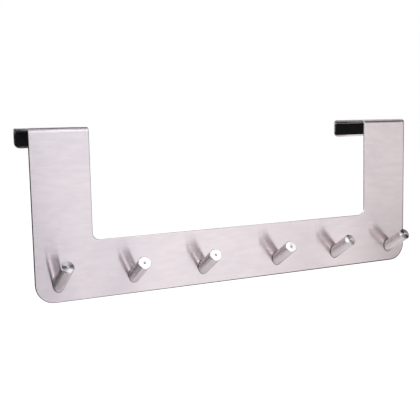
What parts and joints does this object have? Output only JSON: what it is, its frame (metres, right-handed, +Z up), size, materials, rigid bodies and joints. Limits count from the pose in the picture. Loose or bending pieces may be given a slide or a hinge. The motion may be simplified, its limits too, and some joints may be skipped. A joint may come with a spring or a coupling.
{
  "type": "over door hook rack",
  "caption": "Folded steel rack that hangs over the top edge of a door, with slanted round pegs along its front bar for coats and towels.",
  "frame": {"origin": "middle of the rear face of the front bar, which lies against the door", "axes": "+X along the bar to the right as seen from the front, +Y into the door, +Z up"},
  "size_m": [0.38, 0.077, 0.142],
  "materials": {
    "brushed_sheet": "stainless sheet, brushed along the bar",
    "satin_peg": "stainless round bar, satin, with turned ends",
    "foam_pad": "matt black foam"
  },
  "bodies": {
    "root": {"door_plate": "brushed_sheet", "peg_1": "satin_peg", "peg_2": "satin_peg", "peg_3": "satin_peg", "peg_4": "satin_peg", "peg_5": "satin_peg", "peg_6": "satin_peg", "lip_pad_left": "foam_pad", "lip_pad_right": "foam_pad"}
  },
  "joints": []
}
